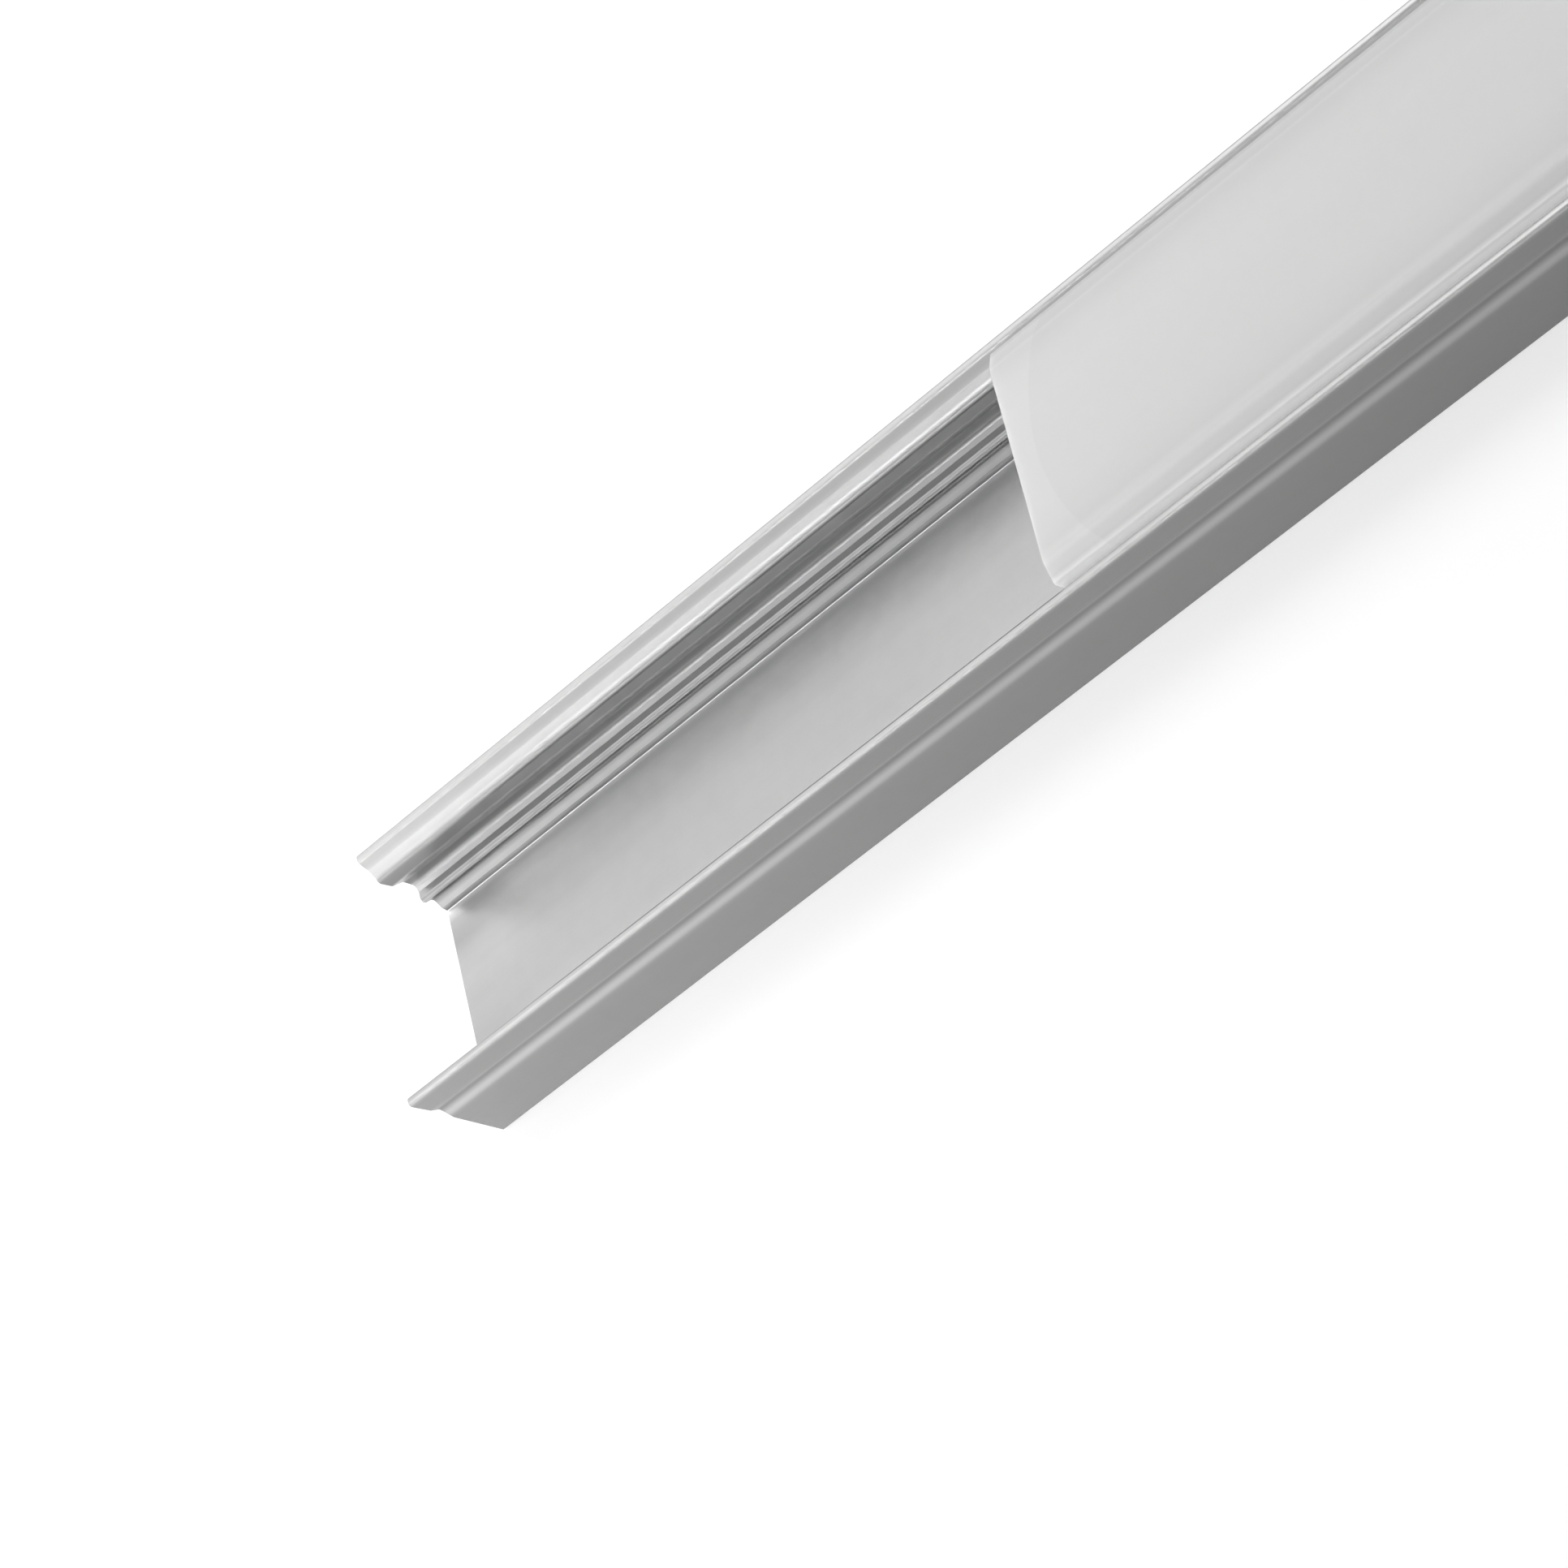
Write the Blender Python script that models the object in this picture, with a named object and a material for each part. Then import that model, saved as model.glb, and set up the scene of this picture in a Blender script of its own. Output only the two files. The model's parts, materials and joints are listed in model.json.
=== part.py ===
# LED strip channel: an aluminium U extrusion with a frosted cover that snaps and slides in it.
# Units are metres. The channel lies open side up: +X runs along it, +Z is up, and the origin is
# on its underside at mid length. The cover is drawn back along +X, so the -X end lies open.

import math

import bmesh
import bpy
from mathutils import Matrix

# Overall sizes of the channel, and how far the cover is drawn back
CHANNEL_LENGTH = 0.2
CHANNEL_WIDTH = 0.0174
COVER_DRAWN_BACK = 0.0559

# Heights of the channel's section, stacked from the underside up to the rim
FLOOR_THICKNESS = 0.00083
FOOT_HEIGHT = 0.0004
SLOT_HEIGHT = 0.0006
LEDGE_UNDERCUT = 0.00065
LEDGE_EDGE_HEIGHT = 0.00025
LEDGE_SLOPE = 0.00016
LEDGE_BANK = 0.00019
COVE_HEIGHT = 0.00095
NOSE_UNDERCUT = 0.00091
NOSE_HEIGHT = 0.00109
LIP_RISE = 0.00021
REBATE_SLOPE = 0.00044
REBATE_HEIGHT = 0.00075

# Insets of the channel's inner corners from the outer face of the rim
RIM_WIDTH = 0.00055
REBATE_FOOT_INSET = 0.00094
REBATE_KNEE_INSET = 0.00132
LIP_INSET = 0.00167
NOSE_FOOT_INSET = 0.0016
COVE_TOP_INSET = 0.00105
COVE_FOOT_INSET = 0.00108
LEDGE_CREASE_INSET = 0.0015
LEDGE_CREST_INSET = 0.00195
LEDGE_INSET = 0.00217
LEDGE_UNDERSIDE_INSET = 0.00213
SLOT_INSET = 0.0017
FOOT_INSET = 0.00222
FLOOR_EDGE_INSET = 0.0023

# Groove along each outer face, its heights measured down from the rim
GROOVE_DROP = 0.00169
GROOVE_UPPER_FLANK = 0.00073
GROOVE_LOWER_FLANK = 0.00103
GROOVE_DEPTH = 0.00031
BAND_DRAFT = 0.00009
WALL_SETBACK = 0.00004

# Corner radii of the channel
BASE_RADIUS = 0.00025
RIM_OUTER_RADIUS = 0.00024
RIM_INNER_RADIUS = 0.0003
REBATE_FOOT_RADIUS = 0.0006
REBATE_KNEE_RADIUS = 0.001
LIP_RADIUS = 0.0004
NOSE_FOOT_RADIUS = 0.0004
COVE_TOP_RADIUS = 0.0006
COVE_FOOT_RADIUS = 0.00036
LEDGE_CREASE_RADIUS = 0.00008
LEDGE_RADIUS = 0.0001
SLOT_RADIUS = 0.00035
FOOT_RADIUS = 0.0001
FLOOR_EDGE_RADIUS = 0.00008
GROOVE_RADIUS = 0.00025
GROOVE_FOOT_RADIUS = 0.0004

# Cover: a plate with sloped shoulders, seated in the rebates on two hooked legs
COVER_CLEARANCE = 0.00025
COVER_EDGE_GAP = 0.00043
COVER_CROWN = 0.00064
PLATE_THICKNESS = 0.0009
SHOULDER_WIDTH = 0.00129
SHOULDER_DROP = 0.00047
LEG_THICKNESS = 0.0007
HOOK_CATCH = 0.00025
HOOK_LAND = 0.00015
HOOK_LEAD = 0.00045
COVER_EDGE_RADIUS = 0.0002
CREASE_RADIUS = 0.0016
HOOK_RADIUS = 0.00008
LEG_ROOT_RADIUS = 0.0003

# Largest turn between two points of a rounded corner, and the gap below which points are one
ARC_STEP = math.radians(5)
WELD = 0.000001

# Heights above the underside that follow from the stack
floor_top = FLOOR_THICKNESS
foot_top = floor_top + FOOT_HEIGHT
slot_middle = foot_top + SLOT_HEIGHT
ledge_underside = slot_middle + LEDGE_UNDERCUT
ledge_tip = ledge_underside + LEDGE_EDGE_HEIGHT
ledge_flat = ledge_tip + LEDGE_SLOPE
cove_foot = ledge_flat + LEDGE_BANK
cove_top = cove_foot + COVE_HEIGHT
nose_foot = cove_top + NOSE_UNDERCUT
lip_edge = nose_foot + NOSE_HEIGHT
rebate_knee = lip_edge + LIP_RISE
rebate_foot = rebate_knee + REBATE_SLOPE
rim_top = rebate_foot + REBATE_HEIGHT


def rounded(corners):
    """Closed outline through (x, y, radius) corners, each turned into an arc of its radius."""
    outline = []
    for index, (x, y, radius) in enumerate(corners):
        before = corners[index - 1]
        after = corners[(index + 1) % len(corners)]
        to_before = (before[0] - x, before[1] - y)
        to_after = (after[0] - x, after[1] - y)
        before_length = math.hypot(*to_before)
        after_length = math.hypot(*to_after)
        before_angle = math.atan2(to_before[1], to_before[0])
        after_angle = math.atan2(to_after[1], to_after[0])
        opening = (after_angle - before_angle) % math.tau
        if opening > math.pi:
            opening -= math.tau
        half = abs(opening) / 2
        turn = math.pi - abs(opening)
        if radius == 0 or turn < ARC_STEP / 4:
            outline.append((x, y))
            continue
        tangent = min(radius / math.tan(half), 0.49 * before_length, 0.49 * after_length)
        bend = tangent * math.tan(half)
        middle = before_angle + opening / 2
        centre_distance = bend / math.sin(half)
        centre_x = x + centre_distance * math.cos(middle)
        centre_y = y + centre_distance * math.sin(middle)
        steps = max(2, math.ceil(turn / ARC_STEP))
        direction = -1 if opening > 0 else 1
        start = middle + math.pi - direction * turn / 2
        for step in range(steps + 1):
            angle = start + direction * turn * step / steps
            outline.append((centre_x + bend * math.cos(angle), centre_y + bend * math.sin(angle)))
    return outline


def mirrored(half_section):
    """Whole section from the corners of its +Y half, listed as (inset, height, radius)."""
    half_width = CHANNEL_WIDTH / 2
    right = [(half_width - inset, height, radius) for inset, height, radius in half_section]
    left = [(-y, height, radius) for y, height, radius in reversed(right)]
    return right + left


def offset_line(start, end, distance):
    """Line through two points, moved to its right-hand side by a distance."""
    along_x = end[0] - start[0]
    along_y = end[1] - start[1]
    length = math.hypot(along_x, along_y)
    shift_x = along_y / length * distance
    shift_y = -along_x / length * distance
    return (start[0] + shift_x, start[1] + shift_y), (along_x, along_y)


def crossing(line, other):
    """Point where two lines meet, each given as a point and a direction."""
    (x1, y1), (dx1, dy1) = line
    (x2, y2), (dx2, dy2) = other
    share = ((x2 - x1) * dy2 - (y2 - y1) * dx2) / (dx1 * dy2 - dy1 * dx2)
    return x1 + share * dx1, y1 + share * dy1


def upright(inset):
    return (inset, 0.0), (0.0, 1.0)


def channel_section():
    """One wall of the channel, from the underside round the rim and back down to the floor."""
    groove_top = rim_top - GROOVE_DROP
    groove_bottom = groove_top - GROOVE_UPPER_FLANK
    groove_foot = groove_bottom - GROOVE_LOWER_FLANK
    return mirrored([
        (WALL_SETBACK, 0.0, BASE_RADIUS),
        (WALL_SETBACK, groove_foot, GROOVE_FOOT_RADIUS),
        (WALL_SETBACK + GROOVE_DEPTH, groove_bottom, GROOVE_RADIUS),
        (BAND_DRAFT, groove_top, GROOVE_RADIUS),
        (0.0, rim_top, RIM_OUTER_RADIUS),
        (RIM_WIDTH, rim_top, RIM_INNER_RADIUS),
        (REBATE_FOOT_INSET, rebate_foot, REBATE_FOOT_RADIUS),
        (REBATE_KNEE_INSET, rebate_knee, REBATE_KNEE_RADIUS),
        (LIP_INSET, lip_edge, LIP_RADIUS),
        (NOSE_FOOT_INSET, nose_foot, NOSE_FOOT_RADIUS),
        (COVE_TOP_INSET, cove_top, COVE_TOP_RADIUS),
        (COVE_FOOT_INSET, cove_foot, COVE_FOOT_RADIUS),
        (LEDGE_CREASE_INSET, ledge_flat, LEDGE_CREASE_RADIUS),
        (LEDGE_CREST_INSET, ledge_flat, LEDGE_RADIUS),
        (LEDGE_INSET, ledge_tip, LEDGE_RADIUS),
        (LEDGE_UNDERSIDE_INSET, ledge_underside, LEDGE_RADIUS),
        (SLOT_INSET, slot_middle, SLOT_RADIUS),
        (FOOT_INSET, foot_top, FOOT_RADIUS),
        (FLOOR_EDGE_INSET, floor_top, FLOOR_EDGE_RADIUS),
    ])


def cover_section():
    """One half of the cover; its side, leg and hook follow the wall they sit against."""
    side = RIM_WIDTH + COVER_EDGE_GAP
    crown = rim_top + COVER_CROWN
    plate_underside = crown - PLATE_THICKNESS
    leg_inside = LIP_INSET + COVER_CLEARANCE + LEG_THICKNESS
    hook_tip = LIP_INSET - HOOK_CATCH

    # The wall's inner faces, each moved away from the aluminium by the clearance
    foot = (REBATE_FOOT_INSET, rebate_foot)
    knee = (REBATE_KNEE_INSET, rebate_knee)
    rebate = offset_line(foot, (RIM_WIDTH, rim_top), COVER_CLEARANCE)
    slope = offset_line(knee, foot, COVER_CLEARANCE)
    lip = offset_line((LIP_INSET, lip_edge), knee, COVER_CLEARANCE)
    nose = offset_line((NOSE_FOOT_INSET, nose_foot), (LIP_INSET, lip_edge), COVER_CLEARANCE)
    undercut = offset_line((COVE_TOP_INSET, cove_top), (NOSE_FOOT_INSET, nose_foot), COVER_CLEARANCE)

    seat_edge = crossing(rebate, upright(side))
    seat_foot = crossing(rebate, slope)
    seat_knee = crossing(slope, lip)
    leg_top = crossing(lip, nose)
    hook_root = crossing(nose, undercut)
    tip_top = crossing(undercut, upright(hook_tip))
    leg_outside = hook_root[0]
    leg_end = tip_top[1] - HOOK_LAND - HOOK_LEAD
    return mirrored([
        (leg_inside, plate_underside, LEG_ROOT_RADIUS),
        (leg_inside, leg_end, HOOK_RADIUS),
        (leg_outside, leg_end, HOOK_RADIUS),
        (hook_tip, tip_top[1] - HOOK_LAND, HOOK_RADIUS),
        (*tip_top, HOOK_RADIUS),
        (*hook_root, HOOK_RADIUS),
        (*leg_top, COVER_CLEARANCE + LIP_RADIUS),
        (*seat_knee, REBATE_KNEE_RADIUS - COVER_CLEARANCE),
        (*seat_foot, REBATE_FOOT_RADIUS - COVER_CLEARANCE),
        (*seat_edge, HOOK_RADIUS),
        (side, crown - SHOULDER_DROP, COVER_EDGE_RADIUS),
        (side + SHOULDER_WIDTH, crown, CREASE_RADIUS),
    ])


def extrusion(name, section, length, x_middle, material, collection):
    """Solid of one section carried along X, with its origin on the underside's centre line."""
    curve = bpy.data.curves.new(name, "CURVE")
    curve.dimensions = "2D"
    curve.fill_mode = "BOTH"
    curve.extrude = length / 2
    spline = curve.splines.new("POLY")
    outline = rounded(section)
    spline.points.add(len(outline) - 1)
    for point, (y, z) in zip(spline.points, outline):
        point.co = (y, z, 0.0, 1.0)
    spline.use_cyclic_u = True
    guide = bpy.data.objects.new(name + "_outline", curve)
    collection.objects.link(guide)
    bpy.context.view_layer.update()

    graph = bpy.context.evaluated_depsgraph_get()
    mesh = bpy.data.meshes.new_from_object(guide.evaluated_get(graph))
    mesh.name = name
    bpy.data.objects.remove(guide)
    bpy.data.curves.remove(curve)

    # The outline was drawn in X and Y: its X becomes Y, its Y becomes Z, and its depth becomes X
    mesh.transform(Matrix(((0, 0, 1, 0), (1, 0, 0, 0), (0, 1, 0, 0), (0, 0, 0, 1))))
    surface = bmesh.new()
    surface.from_mesh(mesh)
    bmesh.ops.remove_doubles(surface, verts=surface.verts, dist=WELD)
    bmesh.ops.recalc_face_normals(surface, faces=surface.faces)
    surface.to_mesh(mesh)
    surface.free()
    mesh.shade_smooth()
    mesh.set_sharp_from_angle(angle=math.radians(30))
    mesh.materials.clear()
    mesh.materials.append(material)

    solid = bpy.data.objects.new(name, mesh)
    solid.location = (x_middle, 0.0, 0.0)
    collection.objects.link(solid)
    return solid


def principled(name, color, roughness, metallic, transmission=0.0):
    material = bpy.data.materials.new(name)
    material.use_nodes = True
    shader = material.node_tree.nodes["Principled BSDF"]
    shader.inputs["Base Color"].default_value = (*color, 1.0)
    shader.inputs["Roughness"].default_value = roughness
    shader.inputs["Metallic"].default_value = metallic
    shader.inputs["Transmission Weight"].default_value = transmission
    return material


def main():
    for scene_object in list(bpy.data.objects):
        bpy.data.objects.remove(scene_object)
    collection = bpy.data.collections.new("led_strip_channel")
    bpy.context.scene.collection.children.link(collection)

    anodised = principled("anodised_aluminium", (0.62, 0.62, 0.63), 0.45, 1.0)
    frosted = principled("frosted_plastic", (0.82, 0.82, 0.82), 0.4, 0.0, 0.15)

    extrusion("channel", channel_section(), CHANNEL_LENGTH, 0.0, anodised, collection)
    extrusion(
        "diffuser_cover", cover_section(), CHANNEL_LENGTH, COVER_DRAWN_BACK, frosted, collection
    )


main()
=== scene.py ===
import json
import math

import bmesh
import bpy
from mathutils import Matrix, Vector

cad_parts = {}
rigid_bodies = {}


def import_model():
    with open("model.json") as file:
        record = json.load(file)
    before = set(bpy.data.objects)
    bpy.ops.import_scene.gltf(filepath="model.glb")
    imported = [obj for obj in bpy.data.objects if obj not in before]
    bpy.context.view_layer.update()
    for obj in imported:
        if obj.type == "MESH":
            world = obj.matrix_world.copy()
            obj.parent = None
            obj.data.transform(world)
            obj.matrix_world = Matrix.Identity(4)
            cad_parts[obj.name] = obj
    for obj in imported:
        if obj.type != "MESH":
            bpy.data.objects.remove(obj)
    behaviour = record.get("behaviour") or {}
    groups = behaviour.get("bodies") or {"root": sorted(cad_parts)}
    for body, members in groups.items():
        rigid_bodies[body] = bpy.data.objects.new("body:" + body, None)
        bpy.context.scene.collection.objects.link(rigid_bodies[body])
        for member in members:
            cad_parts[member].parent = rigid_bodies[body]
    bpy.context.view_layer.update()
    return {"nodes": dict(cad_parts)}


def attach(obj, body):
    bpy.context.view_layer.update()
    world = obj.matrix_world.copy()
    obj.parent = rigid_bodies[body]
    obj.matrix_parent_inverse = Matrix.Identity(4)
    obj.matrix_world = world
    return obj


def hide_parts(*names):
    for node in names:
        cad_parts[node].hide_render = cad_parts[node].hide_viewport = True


# An LED strip channel: a satin aluminium extrusion with a frosted cover drawn part of the way out.
# Metres, +X along the channel towards the end the cover is drawn to, +Z up, floor at z = 0.

for leftover in list(bpy.data.objects):       # Blender's own cube, lamp and camera
    bpy.data.objects.remove(leftover)
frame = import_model()
print("frame loaded:", sorted(frame["nodes"]))


# Shader helpers

millimetres = 1000                            # in a metre
toneTop = 2                                   # the largest share that a tone can hold


class Wire:                                   # a socket's output that can stand in a sum
    def __init__(self, graph, socket):
        self.graph = graph
        self.socket = socket

    def maths(self, operation, first, second=None, clamp=False):
        values = [first] if second is None else [first, second]
        settings = {"operation": operation, "use_clamp": clamp}
        return self.graph.add("ShaderNodeMath", settings, dict(enumerate(values)))["Value"]

    def __add__(self, other):
        return self.maths("ADD", self, other)

    __radd__ = __add__

    def __sub__(self, other):
        return self.maths("SUBTRACT", self, other)

    def __rsub__(self, other):
        return self.maths("SUBTRACT", other, self)

    def __mul__(self, other):
        return self.maths("MULTIPLY", self, other)

    __rmul__ = __mul__

    def size(self):
        return self.maths("ABSOLUTE", self)

    def clamped(self):
        return self.maths("ADD", self, 0.0, clamp=True)

    def above(self, level, width):            # 0 below the level, 1 above it, soft over the width
        return ((self - level) * (1 / width) + 0.5).clamped()

    def below(self, level, width):
        return ((level - self) * (1 / width) + 0.5).clamped()

    def near(self, level, width):             # 1 at the level, falling to 0 a width away from it
        return (1.0 - (self - level).size() * (1 / width)).clamped()


class Outputs:                                # a node, read by the names of its outputs
    def __init__(self, graph, node):
        self.graph = graph
        self.node = node

    def __getitem__(self, name):
        return Wire(self.graph, self.node.outputs[name])


class Graph:                                  # one material's or world's nodes
    def __init__(self, owner):
        owner.use_nodes = True
        self.tree = owner.node_tree
        self.tree.nodes.clear()

    def add(self, kind, settings=None, sockets=None):
        node = self.tree.nodes.new(kind)
        for name, value in (settings or {}).items():
            if name == "stops":
                ramp = node.color_ramp
                while len(ramp.elements) < len(value):
                    ramp.elements.new(0.5)
                for element, (position, level) in zip(ramp.elements, value):
                    element.position = position
                    element.color = grey(level)
            else:
                setattr(node, name, value)
        for name, value in (sockets or {}).items():
            if isinstance(value, Wire):
                self.tree.links.new(value.socket, node.inputs[name])
            else:
                node.inputs[name].default_value = value
        return Outputs(self, node)

    def place(self):                          # the piece's own coordinates, whole and apart
        whole = self.add("ShaderNodeTexCoord")["Object"]
        apart = self.add("ShaderNodeSeparateXYZ", {}, {"Vector": whole})
        return whole, apart["X"], apart["Y"], apart["Z"]

    def noise(self, vector, scale, detail=2.0, roughness=0.5):
        sockets = {"Vector": vector, "Scale": scale, "Detail": detail, "Roughness": roughness}
        return self.add("ShaderNodeTexNoise", {}, sockets)["Fac"]

    def redOf(self, colour):
        return self.add("ShaderNodeSeparateColor", {}, {"Color": colour})["Red"]

    def tone(self, distance, steps):          # a share that goes from step to step, each at its millimetre
        start = steps[0][0]
        reach = steps[-1][0] - start
        stops = [((place - start) / reach, share / toneTop) for place, share in steps]
        along = (distance * millimetres - start) * (1 / reach)
        ramp = self.add("ShaderNodeValToRGB", {"stops": stops}, {"Fac": along})
        return self.redOf(ramp["Color"]) * toneTop

    def stretched(self, vector, factors):
        return self.add("ShaderNodeVectorMath", {"operation": "MULTIPLY"}, {0: vector, 1: factors})["Vector"]

    def asGrey(self, level):                  # a number as a colour, black at 0 and white at 1
        sockets = {0: level, 6: grey(0.0), 7: grey(1.0)}       # a Mix node's factor and its two colours
        return self.add("ShaderNodeMix", {"data_type": "RGBA"}, sockets)[2]

    def specks(self, vector, scale, share, radius, soft=0.01):   # 1 in the middle of a few small spots
        settings = {"feature": "F1", "distance": "EUCLIDEAN"}
        cell = self.add("ShaderNodeTexVoronoi", settings, {"Vector": vector, "Scale": scale})
        return cell["Distance"].below(radius, radius) * self.redOf(cell["Color"]).below(share, soft)

    def bump(self, height, distance, normal=None):
        sockets = {"Height": height, "Distance": distance, "Strength": 1.0}
        if normal is not None:
            sockets["Normal"] = normal
        return self.add("ShaderNodeBump", {}, sockets)["Normal"]

    def finish(self, shader, output="ShaderNodeOutputMaterial"):
        self.add(output, {}, {"Surface": shader})


def grey(level):
    return (level, level, level, 1.0)


def mixed(factor, first, second):             # one number turning into another
    return (second - first) * factor + first


# Aluminium: satin anodised, with fine lines from the die along it and sawn ends

aluminium = {
    "halfLength": 0.1,
    "outerFrom": 0.00833,                     # how far from the centre line the outer faces begin
    "outerUpTo": 0.0073,                      # and how high they reach
    "rimFrom": 0.0074,
    "floorFrom": 0.0008,
    "floorUpTo": 0.00086,
    "sawnDepth": 0.00003,
    "sideSoft": 0.00002,                      # over how far one finish turns into the next
    "topSoft": 0.00006,
    "faceSoft": 0.00004,

    "innerLevel": 0.5,                        # reflectance inside the channel and on its rims
    "outerLevel": 0.418,                      # on the outer faces, set lower than inside as painted shade
    "innerMetal": 0.9,
    "outerMetal": 0.1,
    "innerRoughness": 0.32,
    "outerRoughness": 0.46,
    "sawnRoughness": 0.1,                     # added on the cut ends
    "mottleRoughness": 0.06,
    "dieLineRoughness": 0.05,

    "mottle": 0.07,                           # share by which the skin's level wanders
    "cloud": 0.056,
    "dieLineLevel": 0.05,
    "speckDepth": 0.25,
    "rubbed": 0.07,
    "rubbedHeight": 0.00572,                  # the edge above the outer groove, with a painted highlight
    "rubbedReach": 0.00005,

    "mottleNoise": (900, 3.0, 0.6),           # each noise's scale, detail and roughness
    "cloudNoise": (128.57, 2.0),
    "dieLineNoise": (5200, 2.0, 0.7),
    "grainNoise": (7000, 3.0, 0.65),
    "sawLineNoise": (9000, 2.0, 0.6),
    "specks": (240, 0.12, 0.02),              # scale, share of the cells and radius
    "drawnOut": (0.012, 1.0, 1.0),            # stretches the die's lines along the channel
    "sawnAcross": (1.0, 0.04, 1.0),           # and the saw's across its ends
    "grainHeight": 0.0000025,
    "dieLineHeight": 0.000001,
    "sawLineHeight": 0.000006,

    "innerTone": [                            # painted light and shade up the inner walls, dark in the hollows and light on the lip and rebate: millimetres, share of the level
        (0.95, 0.36), (1.15, 0.74), (1.45, 0.82), (1.62, 0.6), (1.73, 0.6), (1.83, 0.43), (2.04, 0.35),
        (2.25, 0.5), (2.46, 0.81), (2.77, 0.9), (2.81, 0.6), (2.9, 1.0), (3.0, 1.06), (3.05, 0.81),
        (3.3, 1.02), (3.43, 0.59), (3.6, 0.43), (3.85, 0.41), (4.03, 0.77), (4.6, 0.95), (4.9, 0.84),
        (5.1, 0.46), (5.6, 0.49), (5.93, 0.57), (6.05, 0.68), (6.12, 0.8), (6.2, 1.21), (6.3, 1.09),
        (6.77, 1.2), (7.0, 1.08), (7.3, 1.08), (7.4, 1.12),
    ],
    "outerTone": [                            # and up the outer ones: painted highlights on the groove's lower flank, above the groove and at the top edge, painted shade in the groove
        (0.5, 0.99), (2.2, 0.94), (3.86, 0.94), (4.09, 0.96), (4.21, 1.21), (4.32, 1.5), (4.44, 1.64),
        (4.55, 1.63), (4.67, 1.43), (4.78, 1.18), (4.9, 0.88), (5.01, 0.83), (5.13, 0.96), (5.25, 1.11),
        (5.38, 1.26), (5.5, 1.24), (5.74, 1.01), (5.86, 0.94), (6.0, 0.97), (7.0, 0.96), (7.24, 1.21),
        (7.38, 1.12),
    ],
    "floorTone": [                            # painted light across the floor, strongest beside the walls, from the near wall to the far one
        (-6.35, 1.33), (-6.0, 1.6), (-5.2, 1.4), (-4.4, 1.15), (-3.0, 0.96), (-2.0, 0.93), (0.0, 0.955),
        (2.0, 1.03), (2.8, 1.13), (3.6, 1.25), (4.4, 1.44), (5.2, 1.72), (5.6, 1.93), (6.2, 1.93),
        (6.35, 1.8),
    ],
    "rimTone": [                              # painted highlights and shade across the near rim, and on to the far one
        (-8.65, 1.2), (-8.5, 1.08), (-8.34, 0.87), (-8.2, 0.88), (-7.9, 1.0), (7.9, 1.0), (8.2, 1.08),
        (8.46, 1.08), (8.6, 0.98),
    ],
    "endLevel": 0.78,                         # the floor's share of the level beside the walls close to a sawn end: painted shade in place of the painted light further in
    "endFade": [                              # how much of it, by the distance from that end
        (0.0, 1.0), (1.5, 0.9), (2.5, 0.75), (4.0, 0.5), (6.0, 0.1), (8.0, 0.0),
    ],
    "endBand": [                              # and by the distance from the centre line
        (1.5, 0.0), (3.0, 0.55), (4.0, 1.0), (5.5, 0.8), (6.0, 0.4), (6.2, 0.0),
    ],
}


def anodisedAluminium():
    look = aluminium
    material = bpy.data.materials.new("anodisedAluminium")
    graph = Graph(material)
    place, along, across, height = graph.place()

    # where each finish lies
    outer = across.size().above(look["outerFrom"], look["sideSoft"])
    outer = outer * height.below(look["outerUpTo"], look["topSoft"])
    sawn = along.size().above(look["halfLength"] - look["sawnDepth"], look["sideSoft"])
    rim = height.above(look["rimFrom"], look["faceSoft"])
    floor = height.above(look["floorFrom"], look["faceSoft"])
    floor = floor * height.below(look["floorUpTo"], look["faceSoft"])
    # painted highlight: a thin bright line along the outer faces just above the groove
    rubbed = height.near(look["rubbedHeight"], look["rubbedReach"]) * outer

    mottle = graph.noise(place, *look["mottleNoise"]) - 0.5
    cloud = graph.noise(place, *look["cloudNoise"]) - 0.5
    dieLine = graph.noise(graph.stretched(place, look["drawnOut"]), *look["dieLineNoise"])
    grain = graph.noise(place, *look["grainNoise"])
    sawLine = graph.noise(graph.stretched(place, look["sawnAcross"]), *look["sawLineNoise"])
    specks = graph.specks(place, *look["specks"])

    fromEnd = look["halfLength"] - along.size()
    # painted shade on the floor beside the walls close to a sawn end
    nearEnd = graph.tone(fromEnd, look["endFade"]) * graph.tone(across.size(), look["endBand"])
    floorTone = mixed(nearEnd, graph.tone(across, look["floorTone"]), look["endLevel"])
    # painted light and shade, by height up the walls, across the floor and across the rims
    tone = mixed(floor, graph.tone(height, look["innerTone"]), floorTone)
    tone = mixed(outer, tone, graph.tone(height, look["outerTone"]))
    tone = mixed(rim, 1.0, graph.tone(across, look["rimTone"])) * tone

    change = mottle * look["mottle"] + cloud * look["cloud"] + (dieLine - 0.5) * look["dieLineLevel"]
    change = change + rubbed * look["rubbed"] - specks * look["speckDepth"] + 1.0
    # the outer faces' lower level is painted shade, and tone is painted light and shade
    level = mixed(outer, look["innerLevel"], look["outerLevel"]) * change * tone
    roughness = mixed(outer, look["innerRoughness"], look["outerRoughness"]) + sawn * look["sawnRoughness"]
    roughness = roughness + mottle * look["mottleRoughness"] + (dieLine - 0.5) * look["dieLineRoughness"]

    normal = graph.bump(grain, look["grainHeight"])
    normal = graph.bump(dieLine * (1.0 - sawn), look["dieLineHeight"], normal)
    normal = graph.bump(sawLine * sawn, look["sawLineHeight"], normal)

    shader = graph.add("ShaderNodeBsdfPrincipled", {}, {
        "Base Color": graph.asGrey(level),
        "Metallic": mixed(outer, look["innerMetal"], look["outerMetal"]),
        "Roughness": roughness,
        "Normal": normal,
    })
    graph.finish(shader["BSDF"])
    return material


# Cover: frosted plastic that lets some light through, with painted light at its edges, its crease and its
# sawn end

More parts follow.
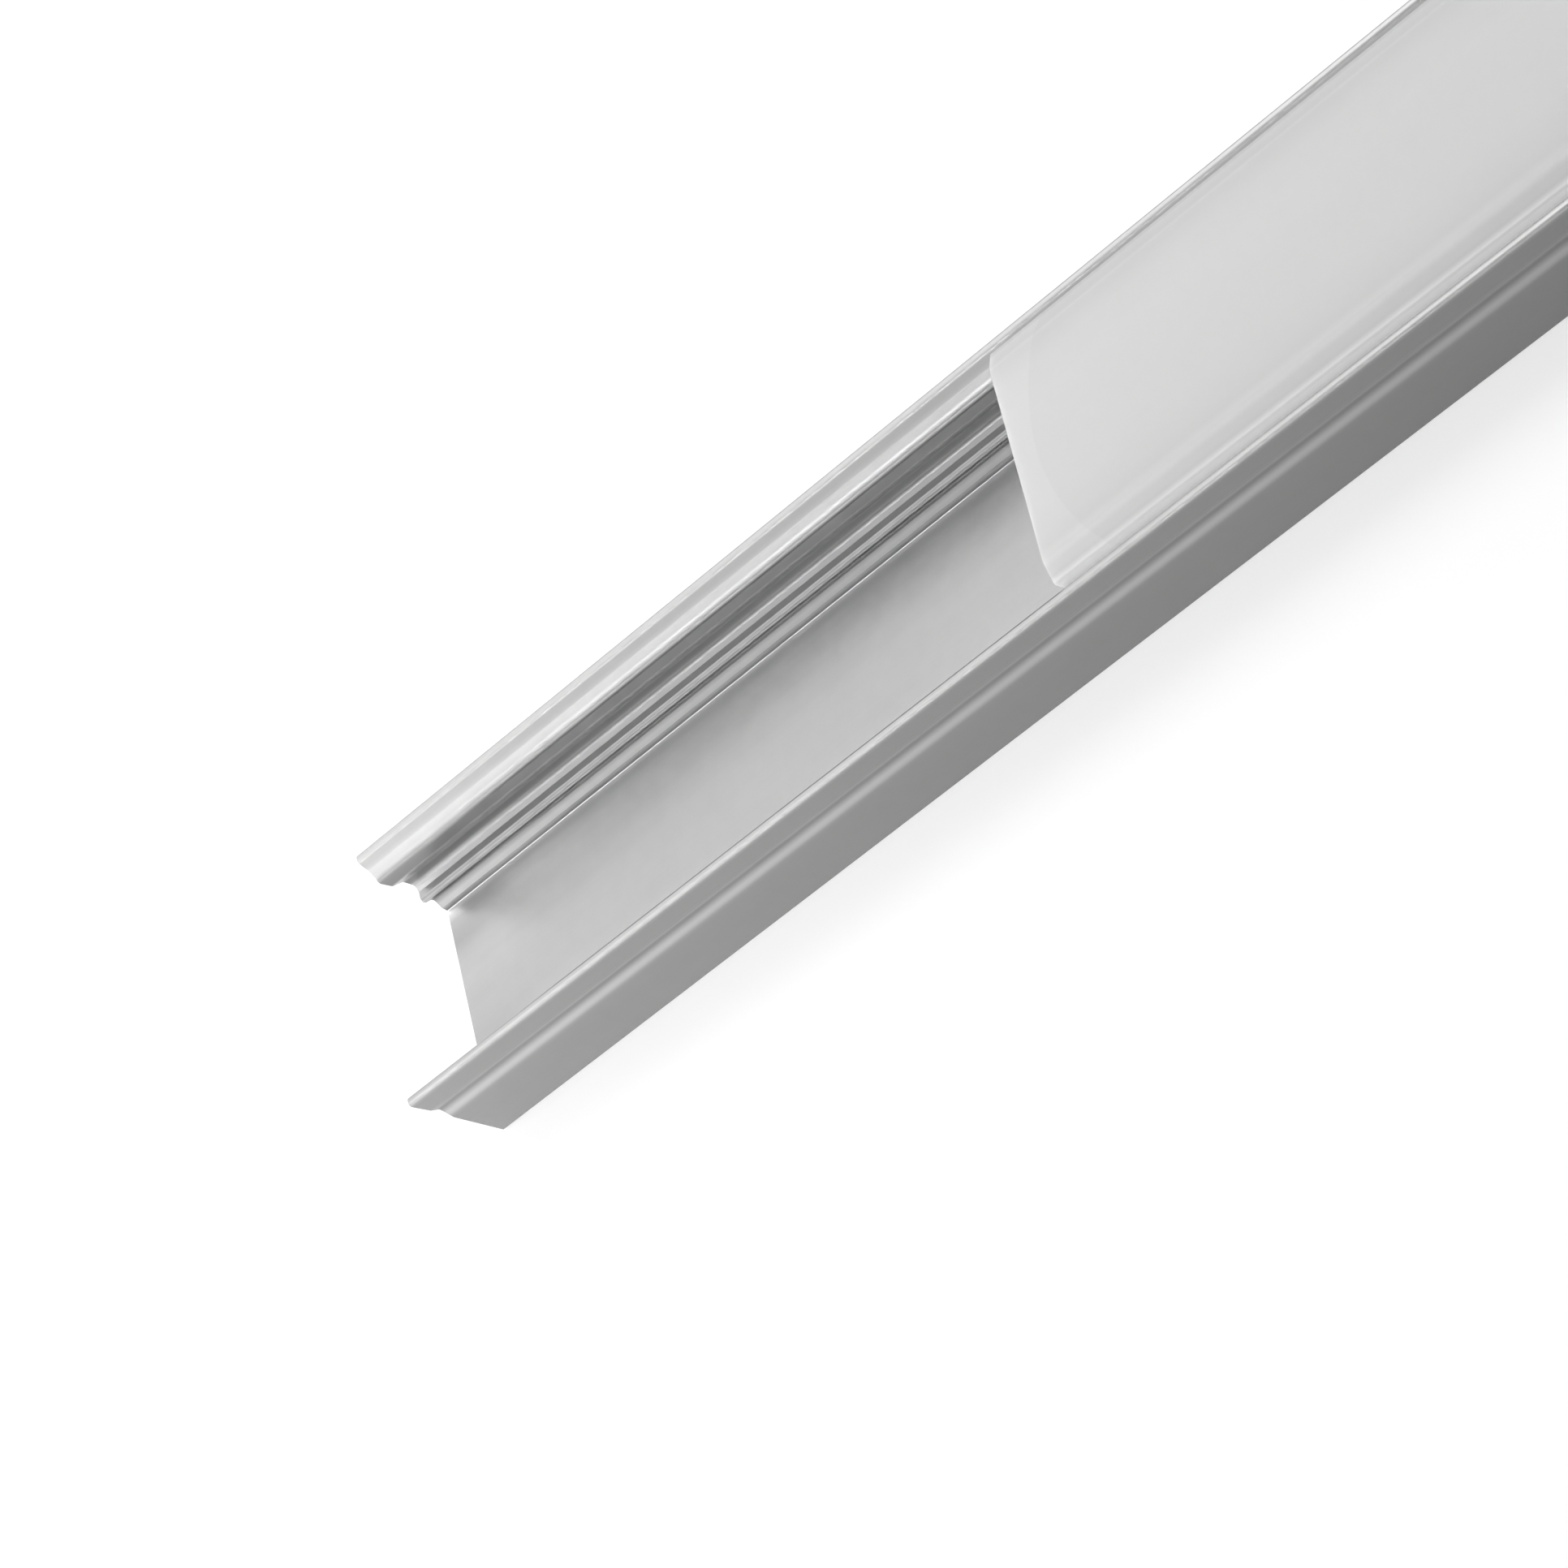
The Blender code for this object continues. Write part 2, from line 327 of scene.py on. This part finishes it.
frosted = {
    "level": 0.66,
    "roughness": 0.42,
    "cloudRoughness": 0.06,
    "refraction": 1.5,
    "subsurface": 0.3,
    "subsurfaceDepth": 0.001,

    "cloud": 0.025,                           # share by which the level wanders
    "pearl": 0.015,
    "flow": 0.012,
    "speckDepth": 0.2,
    "cloudNoise": (130, 3.0, 0.55),           # each noise's scale, detail and roughness
    "pearlNoise": (1500, 2.0),
    "flowNoise": (1800, 2.0, 0.6),
    "specks": (200, 0.1, 0.015),              # scale, share of the cells and radius
    "drawnOut": (0.01, 1.0, 1.0),             # stretches the flow lines along the cover
    "pearlHeight": 0.000002,
    "flowHeight": 0.0000015,

    "endBand": 0.00165,                       # depth of the painted light band along a sawn end
    "endCurve": 44.0,                         # how the band deepens to both sides, per metre
    "endSoft": 0.00015,
    "endGlow": 0.04,
    # painted highlight along the crease
    "creaseAt": 0.00643,
    "creaseReach": 0.00018,
    "creaseFrom": 0.0078,
    "creaseGlow": 0.06,
    "faceSoft": 0.0001,
    "sawnDepth": 0.00002,
    "sawnSoft": 0.00003,
    "sawnLoss": 0.3,
    "tone": [                                 # painted light and shade across the cover, lighter towards the near crease and darker towards the far edge, from its near edge to its far one
        (-7.7, 1.0), (-7.4, 1.02), (-7.1, 1.08), (-6.8, 1.09), (-6.6, 1.13), (-6.43, 1.04), (-5.65, 0.96),
        (-4.9, 0.99), (-3.0, 1.03), (0.0, 1.04), (3.0, 1.05), (4.9, 1.03), (5.65, 0.99), (6.3, 0.95),
        (6.55, 0.935), (7.3, 0.955), (7.45, 0.86), (7.6, 0.83),
    ],

    "edgeFrom": 0.00745,                      # the cover's near edge, where painted light glows by emission, though it is no lamp
    "edgeReach": 0.0003,
    "edgeGlow": 0.175,
    "underUpTo": 0.0075,                      # low on that edge, more of it
    "underReach": 0.0002,
    "underGlow": 0.13,
    "farEdgeFrom": 0.00762,                   # and its far side, low down
    "farEdgeUpTo": 0.00753,
    "farEdgeGlow": 0.34,

    "seatFrom": 0.0068,                       # where the seat begins, out from the centre line
    "seatReach": 0.0003,
    "seatBottom": 0.006,
    "seatTop": 0.0073,
    "seatPress": 0.0002,                      # how much nearer to the rebate it sits than the CAD clearance
}


def frostedPlastic(coverEnds):
    look = frosted
    material = bpy.data.materials.new("frostedPlastic")
    graph = Graph(material)
    place, along, across, height = graph.place()

    cloud = graph.noise(place, *look["cloudNoise"]) - 0.5
    pearl = graph.noise(place, *look["pearlNoise"]) - 0.5
    flow = graph.noise(graph.stretched(place, look["drawnOut"]), *look["flowNoise"])
    specks = graph.specks(place, *look["specks"])

    middle = (coverEnds[0] + coverEnds[1]) / 2
    fromEnd = (coverEnds[1] - coverEnds[0]) / 2 - (along - middle).size()
    # painted light: a bright band along the sawn end, deeper to both sides
    bandDepth = across * across * look["endCurve"] + look["endBand"]
    endBand = (fromEnd - bandDepth).below(0.0, look["endSoft"])
    sawn = fromEnd.below(look["sawnDepth"], look["sawnSoft"])
    # painted highlight: a bright line along the crease
    crease = across.size().near(look["creaseAt"], look["creaseReach"])
    crease = crease * height.above(look["creaseFrom"], look["faceSoft"])

    change = cloud * look["cloud"] + pearl * look["pearl"] + (flow - 0.5) * look["flow"]
    change = change + endBand * look["endGlow"] + crease * look["creaseGlow"]
    change = change - specks * look["speckDepth"] - sawn * look["sawnLoss"] + 1.0
    # the tone across the cover is painted light and shade
    level = change * graph.tone(across, look["tone"]) * look["level"]

    # painted light: the near edge and the far side glow by emission, though they are no lamp
    edge = across.below(-look["edgeFrom"], look["edgeReach"])
    under = height.below(look["underUpTo"], look["underReach"])
    farEdge = across.above(look["farEdgeFrom"], look["faceSoft"])
    farEdge = farEdge * height.below(look["farEdgeUpTo"], look["faceSoft"])
    glow = edge * (look["edgeGlow"] + under * look["underGlow"]) + farEdge * look["farEdgeGlow"]

    normal = graph.bump(pearl, look["pearlHeight"])
    normal = graph.bump(flow, look["flowHeight"], normal)

    shader = graph.add("ShaderNodeBsdfPrincipled", {}, {
        "Base Color": graph.asGrey(level),
        "Emission Color": graph.asGrey(glow),
        "Emission Strength": 1.0,
        "Roughness": look["roughness"] + cloud * look["cloudRoughness"],
        "IOR": look["refraction"],
        "Subsurface Weight": look["subsurface"],
        "Subsurface Radius": (1.0, 1.0, 1.0),
        "Subsurface Scale": look["subsurfaceDepth"],
        "Normal": normal,
    })
    graph.finish(shader["BSDF"])
    return material


# Pieces: each is its CAD solid, shaded smooth round its corners and flat on its faces

smoothing = {
    "weld": 0.000001,
    "sharpFrom": 32,                          # degrees between two faces
}


def pressedHome(surface):                     # brings the cover's seat down onto the rebate, as it snaps in
    look = frosted
    surface.normal_update()
    edge = max(abs(point.co.y) for point in surface.verts)
    moves = []
    for point in surface.verts:
        share = min(1.0, (abs(point.co.y) - look["seatFrom"]) / look["seatReach"])
        if share > 0 and look["seatBottom"] < point.co.z < look["seatTop"]:
            outward = Vector((0.0, point.normal.y, point.normal.z)).normalized()
            moves.append((point, point.co + outward * look["seatPress"] * share))
    for point, place in moves:
        place.y = math.copysign(min(abs(place.y), edge), place.y)
        point.co = place


def smoothed(node, name, body, material, shaping=None):
    mesh = bpy.data.meshes.new(name)
    surface = bmesh.new()
    surface.from_mesh(frame["nodes"][node].data)
    bmesh.ops.remove_doubles(surface, verts=surface.verts, dist=smoothing["weld"])
    if shaping is not None:
        shaping(surface)
    surface.to_mesh(mesh)
    surface.free()
    if "custom_normal" in mesh.attributes:    # the CAD's own, which would hide the new ones
        mesh.attributes.remove(mesh.attributes["custom_normal"])
    mesh.shade_smooth()
    mesh.set_sharp_from_angle(angle=math.radians(smoothing["sharpFrom"]))
    mesh.materials.clear()
    mesh.materials.append(material)

    piece = bpy.data.objects.new(name, mesh)
    bpy.context.scene.collection.objects.link(piece)
    weights = piece.modifiers.new("faceWeights", "WEIGHTED_NORMAL")
    weights.mode = "FACE_AREA"
    weights.keep_sharp = True
    bpy.context.view_layer.update()
    evaluated = piece.evaluated_get(bpy.context.evaluated_depsgraph_get())
    piece.data = bpy.data.meshes.new_from_object(evaluated)
    piece.modifiers.clear()
    bpy.data.meshes.remove(mesh)
    piece.data.name = name

    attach(piece, body)
    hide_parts(node)
    print("piece made:", name, len(piece.data.polygons), "faces")


coverSpan = [corner[0] for corner in frame["nodes"]["diffuser_cover"].bound_box]
coverEnds = (min(coverSpan), max(coverSpan))
smoothed("channel", "channelExtrusion", "channel", anodisedAluminium())
smoothed(
    "diffuser_cover", "frostedCover", "cover", frostedPlastic(coverEnds), pressedHome,
)


# Floor and surroundings

studio = {
    "floorSize": 6.0,
    "floorLevel": 0.4,
    "floorLift": 0.66,                        # added where the camera or a reflection meets the floor
    "skyLevel": 0.08,
    "skyGlow": 0.75,                          # the paler sky beyond the cover's end, which the metal mirrors
    "skyGlowFrom": 0.1,
    "skyGlowReach": 0.6,
}


def seenDirectly(graph):                      # 1 for camera, glossy and transmission rays
    path = graph.add("ShaderNodeLightPath")
    seen = path["Is Camera Ray"] + path["Is Glossy Ray"] + path["Is Transmission Ray"]
    return seen.clamped()


def layFloor():
    mesh = bpy.data.meshes.new("floor")
    surface = bmesh.new()
    bmesh.ops.create_grid(surface, x_segments=1, y_segments=1, size=studio["floorSize"] / 2)
    surface.to_mesh(mesh)
    surface.free()
    floor = bpy.data.objects.new("floor", mesh)
    bpy.context.scene.collection.objects.link(floor)

    material = bpy.data.materials.new("paleFloor")
    graph = Graph(material)
    paint = graph.add("ShaderNodeBsdfDiffuse", {}, {"Color": grey(studio["floorLevel"])})
    lift = graph.add("ShaderNodeEmission", {}, {
        "Color": grey(1.0),
        "Strength": seenDirectly(graph) * studio["floorLift"],
    })
    both = graph.add("ShaderNodeAddShader", {}, {0: paint["BSDF"], 1: lift["Emission"]})
    graph.finish(both["Shader"])
    mesh.materials.append(material)


def hangSky():
    world = bpy.data.worlds.new("studioSky")
    bpy.context.scene.world = world
    graph = Graph(world)
    towards = graph.add("ShaderNodeTexCoord")["Generated"]
    towardsEnd = graph.add("ShaderNodeSeparateXYZ", {}, {"Vector": towards})["X"]
    glow = towardsEnd.above(studio["skyGlowFrom"], studio["skyGlowReach"])
    strength = glow * seenDirectly(graph) * studio["skyGlow"] + studio["skyLevel"]
    sky = graph.add("ShaderNodeBackground", {}, {"Color": grey(1.0), "Strength": strength})
    graph.finish(sky["Background"], "ShaderNodeOutputWorld")


layFloor()
hangSky()


# Lamps: soft boxes, each aimed at the middle of what the camera sees

lampAim = (-0.05, 0.0, 0.004)
lamps = {                                     # place, size across, watts, and one with its own spread and aim
    "endLow": ((-0.35, 0.0, 0.12), 0.12, 0.374),
    "graze": ((-0.25, -0.06, 0.03), 0.04, 0.236),
    "backHigh": ((-0.05, 0.5, 0.8), 0.5, 4.12),
    "backSide": ((-0.05, 0.8, 0.35), 0.5, 1.42),
    "backLeftLow": ((-0.6, 0.5, 0.3), 0.3, 0.2),
    "backLeftWide": ((-0.7, 0.6, 0.8), 0.9, 2.51),
    "frontLeftLow": ((-0.65, -0.80, 0.47), 0.5, 0.57),
    "frontLeftStrip": ((-0.60, -0.78, 0.27), 0.3, 0.121),
    "frontLeftFlat": ((-0.58, -0.76, 0.15), 0.25, 0.212),
    "leftHigh": ((-0.75, -0.1, 0.9), 0.5, 1.11),
    "topRight": ((0.35, 0.0, 0.8), 0.5, 0.33),
    "frontNearLow": ((-0.12, -0.5, 0.06), 0.15, 0.035),
    "pool": ((-0.3, -0.35, 0.4), 0.1, 0.007, 14, (-0.1, 0.0, 0.004)),
}


def hangLamp(name, place, size, watts, spread=180, aim=lampAim):
    light = bpy.data.lights.new(name, "AREA")
    light.shape = "SQUARE"
    light.size = size
    light.energy = watts
    light.spread = math.radians(spread)
    lamp = bpy.data.objects.new(name, light)
    lamp.location = place
    lamp.rotation_euler = (Vector(aim) - Vector(place)).to_track_quat("-Z", "Y").to_euler()
    lamp.visible_camera = False
    bpy.context.scene.collection.objects.link(lamp)


for lampName, settings in lamps.items():
    hangLamp(lampName, *settings)
print("floor, sky and", len(lamps), "lamps set")


# Camera, as the photograph was taken: a long lens from above the near side, turned on its axis

shot = {
    "place": (0.15208, -0.20734, 0.26038),
    "right": (0.65312, -0.20777, -0.72819),
    "up": (0.50944, 0.83203, 0.21952),
    "lens": 161.7,
    "sensor": 36.0,
    "nearest": 0.01,
}


def setCamera():
    right = Vector(shot["right"]).normalized()
    up = Vector(shot["up"])
    up = (up - right * up.dot(right)).normalized()
    data = bpy.data.cameras.new("camera")
    data.sensor_width = shot["sensor"]
    data.lens = shot["lens"]
    data.clip_start = shot["nearest"]
    camera = bpy.data.objects.new("camera", data)
    camera.matrix_world = Matrix((right, up, right.cross(up))).transposed().to_4x4()
    camera.location = shot["place"]
    bpy.context.scene.collection.objects.link(camera)
    bpy.context.scene.camera = camera


setCamera()
bpy.context.scene.view_settings.view_transform = "Standard"
print("camera set")

print("scene ready")
